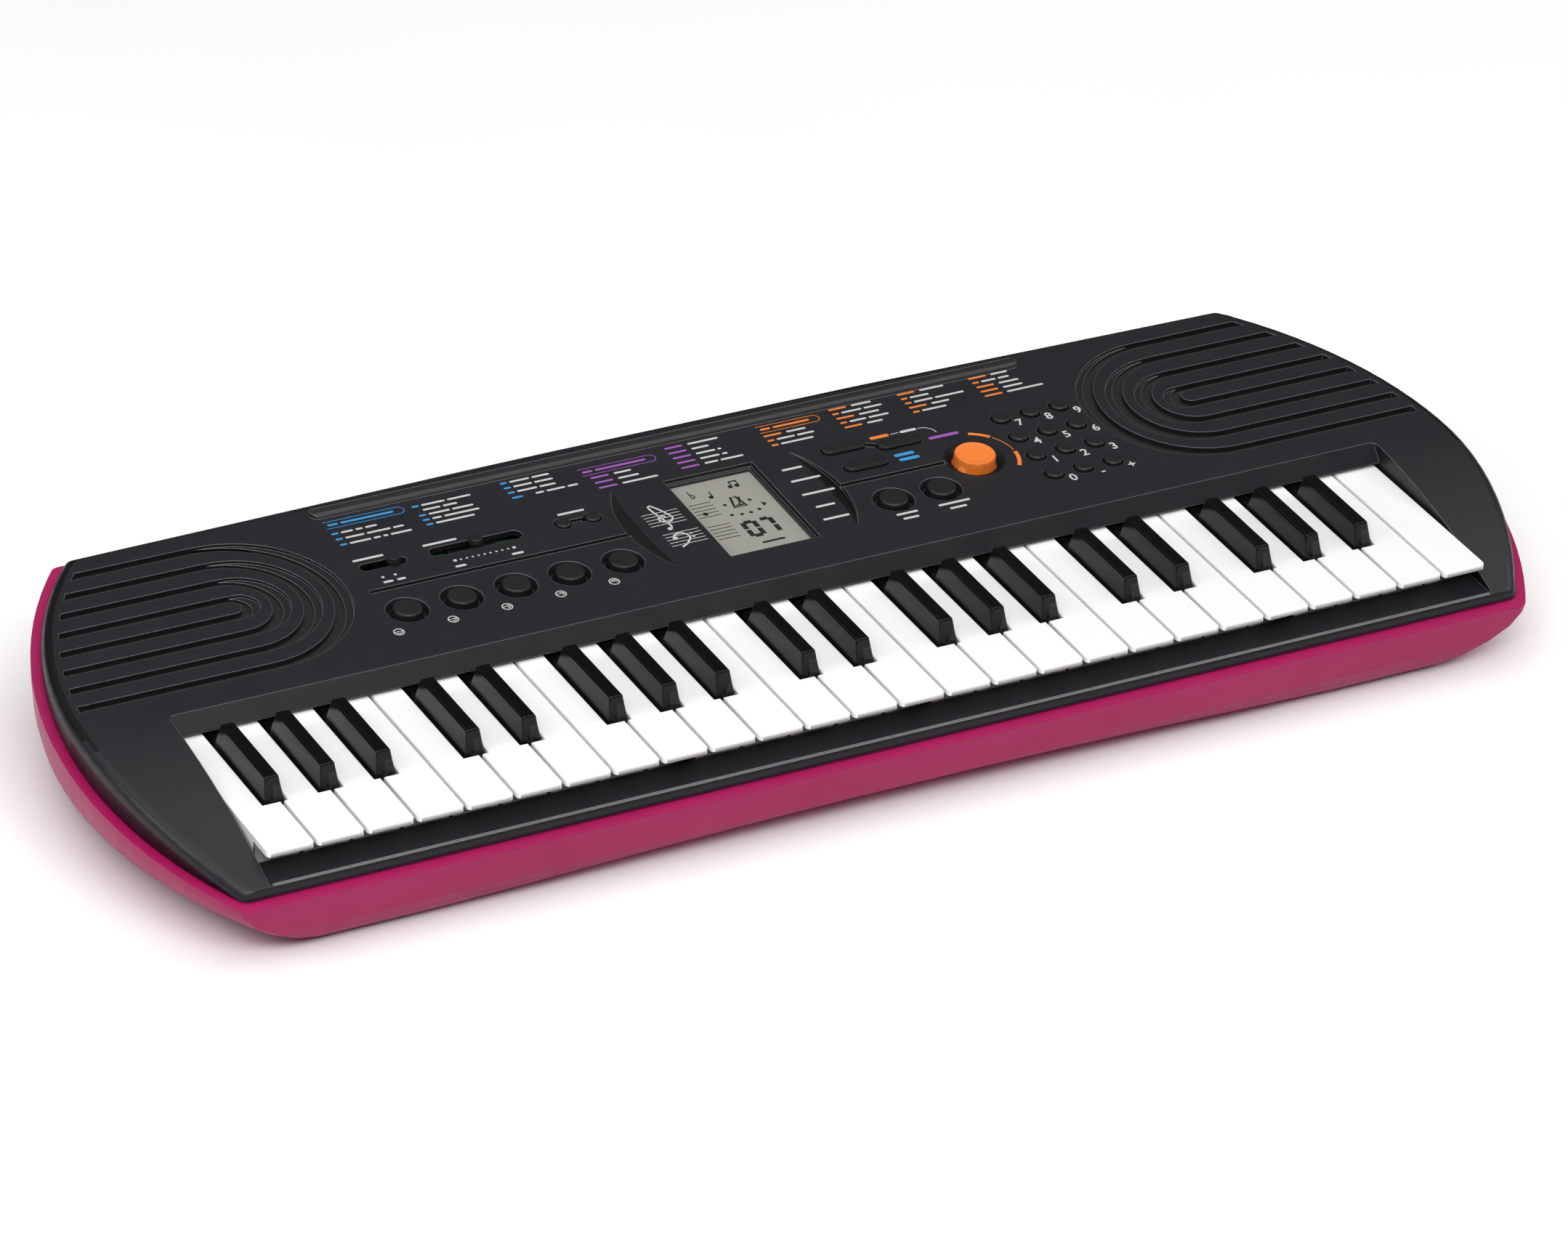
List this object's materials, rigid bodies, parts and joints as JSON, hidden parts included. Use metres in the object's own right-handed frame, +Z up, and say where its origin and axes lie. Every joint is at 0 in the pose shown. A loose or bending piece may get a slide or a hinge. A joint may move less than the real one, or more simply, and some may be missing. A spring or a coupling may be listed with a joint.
{
  "type": "toy electronic keyboard",
  "caption": "Toy electronic keyboard with small keys, a black control panel, a magenta case, a display and built-in speakers.",
  "frame": {"origin": "middle of the footprint, on the surface that the feet stand on", "axes": "+X towards the treble end, +Y towards the rear, +Z up"},
  "size_m": [0.604, 0.211, 0.0571],
  "materials": {
    "cover_plastic": "fine satin texture",
    "case_plastic": "semi gloss",
    "white_key_plastic": "gloss",
    "black_key_plastic": "gloss",
    "button_plastic": "satin",
    "orange_plastic": "satin",
    "display_glass": "satin",
    "rubber": "matte",
    "screw_steel": "satin",
    "speaker_cone": "matte",
    "circuit_board": "satin",
    "panel_print": "matte"
  },
  "bodies": {
    "root": {"top_cover": "cover_plastic", "bottom_case": "case_plastic", "rubber_feet": "rubber", "case_screws": "screw_steel", "speakers": "speaker_cone", "main_board": "circuit_board", "key_contact_board": "circuit_board", "key_contact_strip": "rubber", "lcd_panel": "display_glass"},
    "battery_cover": {"battery_cover": "case_plastic"},
    "drum_pads": {"drum_pads": "button_plastic"},
    "number_buttons": {"number_buttons": "button_plastic"},
    "function_buttons": {"function_buttons": "button_plastic"},
    "tone_button": {"tone_button": "orange_plastic"},
    "power_knob": {"power_knob": "button_plastic"},
    "volume_knob": {"volume_knob": "button_plastic"},
    "white_key_01": {"white_key_01": "white_key_plastic"},
    "white_key_02": {"white_key_02": "white_key_plastic"},
    "white_key_03": {"white_key_03": "white_key_plastic"},
    "white_key_04": {"white_key_04": "white_key_plastic"},
    "white_key_05": {"white_key_05": "white_key_plastic"},
    "white_key_06": {"white_key_06": "white_key_plastic"},
    "white_key_07": {"white_key_07": "white_key_plastic"},
    "white_key_08": {"white_key_08": "white_key_plastic"},
    "white_key_09": {"white_key_09": "white_key_plastic"},
    "white_key_10": {"white_key_10": "white_key_plastic"},
    "white_key_11": {"white_key_11": "white_key_plastic"},
    "white_key_12": {"white_key_12": "white_key_plastic"},
    "white_key_13": {"white_key_13": "white_key_plastic"},
    "white_key_14": {"white_key_14": "white_key_plastic"},
    "white_key_15": {"white_key_15": "white_key_plastic"},
    "white_key_16": {"white_key_16": "white_key_plastic"},
    "white_key_17": {"white_key_17": "white_key_plastic"},
    "white_key_18": {"white_key_18": "white_key_plastic"},
    "white_key_19": {"white_key_19": "white_key_plastic"},
    "white_key_20": {"white_key_20": "white_key_plastic"},
    "white_key_21": {"white_key_21": "white_key_plastic"},
    "white_key_22": {"white_key_22": "white_key_plastic"},
    "white_key_23": {"white_key_23": "white_key_plastic"},
    "white_key_24": {"white_key_24": "white_key_plastic"},
    "white_key_25": {"white_key_25": "white_key_plastic"},
    "white_key_26": {"white_key_26": "white_key_plastic"},
    "black_key_01": {"black_key_01": "black_key_plastic"},
    "black_key_02": {"black_key_02": "black_key_plastic"},
    "black_key_03": {"black_key_03": "black_key_plastic"},
    "black_key_04": {"black_key_04": "black_key_plastic"},
    "black_key_05": {"black_key_05": "black_key_plastic"},
    "black_key_06": {"black_key_06": "black_key_plastic"},
    "black_key_07": {"black_key_07": "black_key_plastic"},
    "black_key_08": {"black_key_08": "black_key_plastic"},
    "black_key_09": {"black_key_09": "black_key_plastic"},
    "black_key_10": {"black_key_10": "black_key_plastic"},
    "black_key_11": {"black_key_11": "black_key_plastic"},
    "black_key_12": {"black_key_12": "black_key_plastic"},
    "black_key_13": {"black_key_13": "black_key_plastic"},
    "black_key_14": {"black_key_14": "black_key_plastic"},
    "black_key_15": {"black_key_15": "black_key_plastic"},
    "black_key_16": {"black_key_16": "black_key_plastic"},
    "black_key_17": {"black_key_17": "black_key_plastic"},
    "black_key_18": {"black_key_18": "black_key_plastic"}
  },
  "joints": [
    {"name": "white_key_01_hinge", "type": "hinge", "parent": "root", "child": "white_key_01", "pos_m": [-0.25125, 0.015, 0.037], "axis": [1, 0, 0], "range_deg": [0, 2.6], "stiffness_Nm_per_rad": 0.4, "springref_deg": -5.73},
    {"name": "white_key_02_hinge", "type": "hinge", "parent": "root", "child": "white_key_02", "pos_m": [-0.23115, 0.015, 0.037], "axis": [1, 0, 0], "range_deg": [0, 2.6], "stiffness_Nm_per_rad": 0.4, "springref_deg": -5.73},
    {"name": "white_key_03_hinge", "type": "hinge", "parent": "root", "child": "white_key_03", "pos_m": [-0.21105, 0.015, 0.037], "axis": [1, 0, 0], "range_deg": [0, 2.6], "stiffness_Nm_per_rad": 0.4, "springref_deg": -5.73},
    {"name": "white_key_04_hinge", "type": "hinge", "parent": "root", "child": "white_key_04", "pos_m": [-0.19095, 0.015, 0.037], "axis": [1, 0, 0], "range_deg": [0, 2.6], "stiffness_Nm_per_rad": 0.4, "springref_deg": -5.73},
    {"name": "white_key_05_hinge", "type": "hinge", "parent": "root", "child": "white_key_05", "pos_m": [-0.17085, 0.015, 0.037], "axis": [1, 0, 0], "range_deg": [0, 2.6], "stiffness_Nm_per_rad": 0.4, "springref_deg": -5.73},
    {"name": "white_key_06_hinge", "type": "hinge", "parent": "root", "child": "white_key_06", "pos_m": [-0.15075, 0.015, 0.037], "axis": [1, 0, 0], "range_deg": [0, 2.6], "stiffness_Nm_per_rad": 0.4, "springref_deg": -5.73},
    {"name": "white_key_07_hinge", "type": "hinge", "parent": "root", "child": "white_key_07", "pos_m": [-0.13065, 0.015, 0.037], "axis": [1, 0, 0], "range_deg": [0, 2.6], "stiffness_Nm_per_rad": 0.4, "springref_deg": -5.73},
    {"name": "white_key_08_hinge", "type": "hinge", "parent": "root", "child": "white_key_08", "pos_m": [-0.11055, 0.015, 0.037], "axis": [1, 0, 0], "range_deg": [0, 2.6], "stiffness_Nm_per_rad": 0.4, "springref_deg": -5.73},
    {"name": "white_key_09_hinge", "type": "hinge", "parent": "root", "child": "white_key_09", "pos_m": [-0.09045, 0.015, 0.037], "axis": [1, 0, 0], "range_deg": [0, 2.6], "stiffness_Nm_per_rad": 0.4, "springref_deg": -5.73},
    {"name": "white_key_10_hinge", "type": "hinge", "parent": "root", "child": "white_key_10", "pos_m": [-0.07035, 0.015, 0.037], "axis": [1, 0, 0], "range_deg": [0, 2.6], "stiffness_Nm_per_rad": 0.4, "springref_deg": -5.73},
    {"name": "white_key_11_hinge", "type": "hinge", "parent": "root", "child": "white_key_11", "pos_m": [-0.05025, 0.015, 0.037], "axis": [1, 0, 0], "range_deg": [0, 2.6], "stiffness_Nm_per_rad": 0.4, "springref_deg": -5.73},
    {"name": "white_key_12_hinge", "type": "hinge", "parent": "root", "child": "white_key_12", "pos_m": [-0.03015, 0.015, 0.037], "axis": [1, 0, 0], "range_deg": [0, 2.6], "stiffness_Nm_per_rad": 0.4, "springref_deg": -5.73},
    {"name": "white_key_13_hinge", "type": "hinge", "parent": "root", "child": "white_key_13", "pos_m": [-0.01005, 0.015, 0.037], "axis": [1, 0, 0], "range_deg": [0, 2.6], "stiffness_Nm_per_rad": 0.4, "springref_deg": -5.73},
    {"name": "white_key_14_hinge", "type": "hinge", "parent": "root", "child": "white_key_14", "pos_m": [0.01005, 0.015, 0.037], "axis": [1, 0, 0], "range_deg": [0, 2.6], "stiffness_Nm_per_rad": 0.4, "springref_deg": -5.73},
    {"name": "white_key_15_hinge", "type": "hinge", "parent": "root", "child": "white_key_15", "pos_m": [0.03015, 0.015, 0.037], "axis": [1, 0, 0], "range_deg": [0, 2.6], "stiffness_Nm_per_rad": 0.4, "springref_deg": -5.73},
    {"name": "white_key_16_hinge", "type": "hinge", "parent": "root", "child": "white_key_16", "pos_m": [0.05025, 0.015, 0.037], "axis": [1, 0, 0], "range_deg": [0, 2.6], "stiffness_Nm_per_rad": 0.4, "springref_deg": -5.73},
    {"name": "white_key_17_hinge", "type": "hinge", "parent": "root", "child": "white_key_17", "pos_m": [0.07035, 0.015, 0.037], "axis": [1, 0, 0], "range_deg": [0, 2.6], "stiffness_Nm_per_rad": 0.4, "springref_deg": -5.73},
    {"name": "white_key_18_hinge", "type": "hinge", "parent": "root", "child": "white_key_18", "pos_m": [0.09045, 0.015, 0.037], "axis": [1, 0, 0], "range_deg": [0, 2.6], "stiffness_Nm_per_rad": 0.4, "springref_deg": -5.73},
    {"name": "white_key_19_hinge", "type": "hinge", "parent": "root", "child": "white_key_19", "pos_m": [0.11055, 0.015, 0.037], "axis": [1, 0, 0], "range_deg": [0, 2.6], "stiffness_Nm_per_rad": 0.4, "springref_deg": -5.73},
    {"name": "white_key_20_hinge", "type": "hinge", "parent": "root", "child": "white_key_20", "pos_m": [0.13065, 0.015, 0.037], "axis": [1, 0, 0], "range_deg": [0, 2.6], "stiffness_Nm_per_rad": 0.4, "springref_deg": -5.73},
    {"name": "white_key_21_hinge", "type": "hinge", "parent": "root", "child": "white_key_21", "pos_m": [0.15075, 0.015, 0.037], "axis": [1, 0, 0], "range_deg": [0, 2.6], "stiffness_Nm_per_rad": 0.4, "springref_deg": -5.73},
    {"name": "white_key_22_hinge", "type": "hinge", "parent": "root", "child": "white_key_22", "pos_m": [0.17085, 0.015, 0.037], "axis": [1, 0, 0], "range_deg": [0, 2.6], "stiffness_Nm_per_rad": 0.4, "springref_deg": -5.73},
    {"name": "white_key_23_hinge", "type": "hinge", "parent": "root", "child": "white_key_23", "pos_m": [0.19095, 0.015, 0.037], "axis": [1, 0, 0], "range_deg": [0, 2.6], "stiffness_Nm_per_rad": 0.4, "springref_deg": -5.73},
    {"name": "white_key_24_hinge", "type": "hinge", "parent": "root", "child": "white_key_24", "pos_m": [0.21105, 0.015, 0.037], "axis": [1, 0, 0], "range_deg": [0, 2.6], "stiffness_Nm_per_rad": 0.4, "springref_deg": -5.73},
    {"name": "white_key_25_hinge", "type": "hinge", "parent": "root", "child": "white_key_25", "pos_m": [0.23115, 0.015, 0.037], "axis": [1, 0, 0], "range_deg": [0, 2.6], "stiffness_Nm_per_rad": 0.4, "springref_deg": -5.73},
    {"name": "white_key_26_hinge", "type": "hinge", "parent": "root", "child": "white_key_26", "pos_m": [0.25125, 0.015, 0.037], "axis": [1, 0, 0], "range_deg": [0, 2.6], "stiffness_Nm_per_rad": 0.4, "springref_deg": -5.73},
    {"name": "black_key_01_hinge", "type": "hinge", "parent": "root", "child": "black_key_01", "pos_m": [-0.244, 0.015, 0.037], "axis": [1, 0, 0], "range_deg": [0, 2.6], "stiffness_Nm_per_rad": 0.4, "springref_deg": -5.73},
    {"name": "black_key_02_hinge", "type": "hinge", "parent": "root", "child": "black_key_02", "pos_m": [-0.2216, 0.015, 0.037], "axis": [1, 0, 0], "range_deg": [0, 2.6], "stiffness_Nm_per_rad": 0.4, "springref_deg": -5.73},
    {"name": "black_key_03_hinge", "type": "hinge", "parent": "root", "child": "black_key_03", "pos_m": [-0.199, 0.015, 0.037], "axis": [1, 0, 0], "range_deg": [0, 2.6], "stiffness_Nm_per_rad": 0.4, "springref_deg": -5.73},
    {"name": "black_key_04_hinge", "type": "hinge", "parent": "root", "child": "black_key_04", "pos_m": [-0.1626, 0.015, 0.037], "axis": [1, 0, 0], "range_deg": [0, 2.6], "stiffness_Nm_per_rad": 0.4, "springref_deg": -5.73},
    {"name": "black_key_05_hinge", "type": "hinge", "parent": "root", "child": "black_key_05", "pos_m": [-0.1394, 0.015, 0.037], "axis": [1, 0, 0], "range_deg": [0, 2.6], "stiffness_Nm_per_rad": 0.4, "springref_deg": -5.73},
    {"name": "black_key_06_hinge", "type": "hinge", "parent": "root", "child": "black_key_06", "pos_m": [-0.1033, 0.015, 0.037], "axis": [1, 0, 0], "range_deg": [0, 2.6], "stiffness_Nm_per_rad": 0.4, "springref_deg": -5.73},
    {"name": "black_key_07_hinge", "type": "hinge", "parent": "root", "child": "black_key_07", "pos_m": [-0.0809, 0.015, 0.037], "axis": [1, 0, 0], "range_deg": [0, 2.6], "stiffness_Nm_per_rad": 0.4, "springref_deg": -5.73},
    {"name": "black_key_08_hinge", "type": "hinge", "parent": "root", "child": "black_key_08", "pos_m": [-0.0583, 0.015, 0.037], "axis": [1, 0, 0], "range_deg": [0, 2.6], "stiffness_Nm_per_rad": 0.4, "springref_deg": -5.73},
    {"name": "black_key_09_hinge", "type": "hinge", "parent": "root", "child": "black_key_09", "pos_m": [-0.0219, 0.015, 0.037], "axis": [1, 0, 0], "range_deg": [0, 2.6], "stiffness_Nm_per_rad": 0.4, "springref_deg": -5.73},
    {"name": "black_key_10_hinge", "type": "hinge", "parent": "root", "child": "black_key_10", "pos_m": [0.0013, 0.015, 0.037], "axis": [1, 0, 0], "range_deg": [0, 2.6], "stiffness_Nm_per_rad": 0.4, "springref_deg": -5.73},
    {"name": "black_key_11_hinge", "type": "hinge", "parent": "root", "child": "black_key_11", "pos_m": [0.0374, 0.015, 0.037], "axis": [1, 0, 0], "range_deg": [0, 2.6], "stiffness_Nm_per_rad": 0.4, "springref_deg": -5.73},
    {"name": "black_key_12_hinge", "type": "hinge", "parent": "root", "child": "black_key_12", "pos_m": [0.0598, 0.015, 0.037], "axis": [1, 0, 0], "range_deg": [0, 2.6], "stiffness_Nm_per_rad": 0.4, "springref_deg": -5.73},
    {"name": "black_key_13_hinge", "type": "hinge", "parent": "root", "child": "black_key_13", "pos_m": [0.0824, 0.015, 0.037], "axis": [1, 0, 0], "range_deg": [0, 2.6], "stiffness_Nm_per_rad": 0.4, "springref_deg": -5.73},
    {"name": "black_key_14_hinge", "type": "hinge", "parent": "root", "child": "black_key_14", "pos_m": [0.1188, 0.015, 0.037], "axis": [1, 0, 0], "range_deg": [0, 2.6], "stiffness_Nm_per_rad": 0.4, "springref_deg": -5.73},
    {"name": "black_key_15_hinge", "type": "hinge", "parent": "root", "child": "black_key_15", "pos_m": [0.142, 0.015, 0.037], "axis": [1, 0, 0], "range_deg": [0, 2.6], "stiffness_Nm_per_rad": 0.4, "springref_deg": -5.73},
    {"name": "black_key_16_hinge", "type": "hinge", "parent": "root", "child": "black_key_16", "pos_m": [0.1781, 0.015, 0.037], "axis": [1, 0, 0], "range_deg": [0, 2.6], "stiffness_Nm_per_rad": 0.4, "springref_deg": -5.73},
    {"name": "black_key_17_hinge", "type": "hinge", "parent": "root", "child": "black_key_17", "pos_m": [0.2005, 0.015, 0.037], "axis": [1, 0, 0], "range_deg": [0, 2.6], "stiffness_Nm_per_rad": 0.4, "springref_deg": -5.73},
    {"name": "black_key_18_hinge", "type": "hinge", "parent": "root", "child": "black_key_18", "pos_m": [0.2231, 0.015, 0.037], "axis": [1, 0, 0], "range_deg": [0, 2.6], "stiffness_Nm_per_rad": 0.4, "springref_deg": -5.73},
    {"name": "drum_pads_press", "type": "slide", "parent": "root", "child": "drum_pads", "axis": [0, 0.041, -0.9992], "range_m": [0, 0.0011], "stiffness_N_per_m": 400, "springref_m": -0.002},
    {"name": "number_buttons_press", "type": "slide", "parent": "root", "child": "number_buttons", "axis": [0, 0.041, -0.9992], "range_m": [0, 0.001], "stiffness_N_per_m": 400, "springref_m": -0.002},
    {"name": "function_buttons_press", "type": "slide", "parent": "root", "child": "function_buttons", "axis": [0, 0.041, -0.9992], "range_m": [0, 0.0008], "stiffness_N_per_m": 400, "springref_m": -0.002},
    {"name": "tone_button_press", "type": "slide", "parent": "root", "child": "tone_button", "axis": [0, 0.041, -0.9992], "range_m": [0, 0.002], "stiffness_N_per_m": 300, "springref_m": -0.002},
    {"name": "power_slide", "type": "slide", "parent": "root", "child": "power_knob", "axis": [1, 0, 0], "range_m": [-0.0055, 0]},
    {"name": "volume_slide", "type": "slide", "parent": "root", "child": "volume_knob", "axis": [1, 0, 0], "range_m": [-0.0125, 0.0125]},
    {"name": "battery_cover_hinge", "type": "hinge", "parent": "root", "child": "battery_cover", "pos_m": [0.072, 0.0188, 0.0035], "axis": [-1, 0, 0], "range_deg": [0, 60]}
  ]
}
